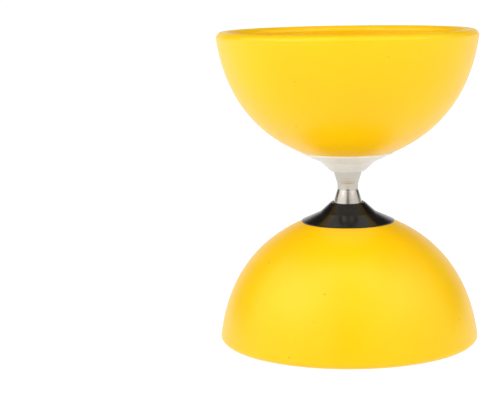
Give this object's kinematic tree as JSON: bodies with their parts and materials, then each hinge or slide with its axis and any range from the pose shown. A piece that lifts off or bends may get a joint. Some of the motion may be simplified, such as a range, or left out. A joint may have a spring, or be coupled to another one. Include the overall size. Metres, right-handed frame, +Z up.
{
  "type": "diabolo",
  "caption": "Juggling diabolo: two rubber cups on moulded hubs, joined by a waisted steel axle sleeve that spins on ball bearings and a one-way clutch.",
  "frame": {"origin": "on the diabolo's axis, at the floor that the lower cup's rim stands on", "axes": "+Z up along the diabolo's axis, from the lower cup to the upper cup; the shape is round about Z, so +X and +Y are any two sides"},
  "size_m": [0.125, 0.125, 0.1502],
  "materials": {
    "cup_rubber": "satin",
    "white_plastic": "satin",
    "black_plastic": "gloss",
    "turned_steel": "turned, satin",
    "zinc_steel": "zinc plated",
    "bearing_steel": "ground",
    "cage_steel": "pressed sheet",
    "cage_nylon": "natural nylon",
    "black_nylon": "moulded, fine grain",
    "blue_nylon": "smooth"
  },
  "bodies": {
    "cups": {"upper_cup": "cup_rubber", "lower_cup": "cup_rubber", "white_hub": "white_plastic", "black_hub": "black_plastic", "centre_shaft": "zinc_steel", "upper_clamp_plate": "black_nylon", "upper_hub_bush": "zinc_steel", "upper_washer": "zinc_steel", "upper_lock_nut": "zinc_steel", "upper_nut_nylon_ring": "blue_nylon", "upper_bearing_inner_race": "bearing_steel", "lower_clamp_plate": "black_nylon", "lower_hub_bush": "zinc_steel", "lower_washer": "zinc_steel", "lower_lock_nut": "zinc_steel", "lower_nut_nylon_ring": "blue_nylon", "lower_bearing_inner_race": "bearing_steel"},
    "sleeve": {"axle_sleeve": "turned_steel", "upper_bearing_outer_race": "bearing_steel", "upper_bearing_shields": "cage_steel", "lower_bearing_outer_race": "bearing_steel", "lower_bearing_shields": "cage_steel", "clutch_shell": "bearing_steel", "clutch_rollers": "bearing_steel", "clutch_cage": "cage_nylon", "clutch_springs": "cage_steel"},
    "upper_ball_set": {"upper_bearing_balls": "bearing_steel", "upper_bearing_ball_cage": "cage_steel"},
    "lower_ball_set": {"lower_bearing_balls": "bearing_steel", "lower_bearing_ball_cage": "cage_steel"}
  },
  "joints": [
    {"name": "sleeve_spin", "type": "hinge", "parent": "cups", "child": "sleeve", "pos_m": [0, 0, 0.0751], "axis": [0, 0, 1], "continuous": true},
    {"name": "upper_ball_set_spin", "type": "hinge", "parent": "cups", "child": "upper_ball_set", "pos_m": [0, 0, 0.0887], "axis": [0, 0, 1], "continuous": true},
    {"name": "lower_ball_set_spin", "type": "hinge", "parent": "cups", "child": "lower_ball_set", "pos_m": [0, 0, 0.0615], "axis": [0, 0, 1], "continuous": true}
  ],
  "couplings": [
    {"joint": "upper_ball_set_spin", "follows": "sleeve_spin", "ratio": 0.6},
    {"joint": "lower_ball_set_spin", "follows": "sleeve_spin", "ratio": 0.6}
  ]
}
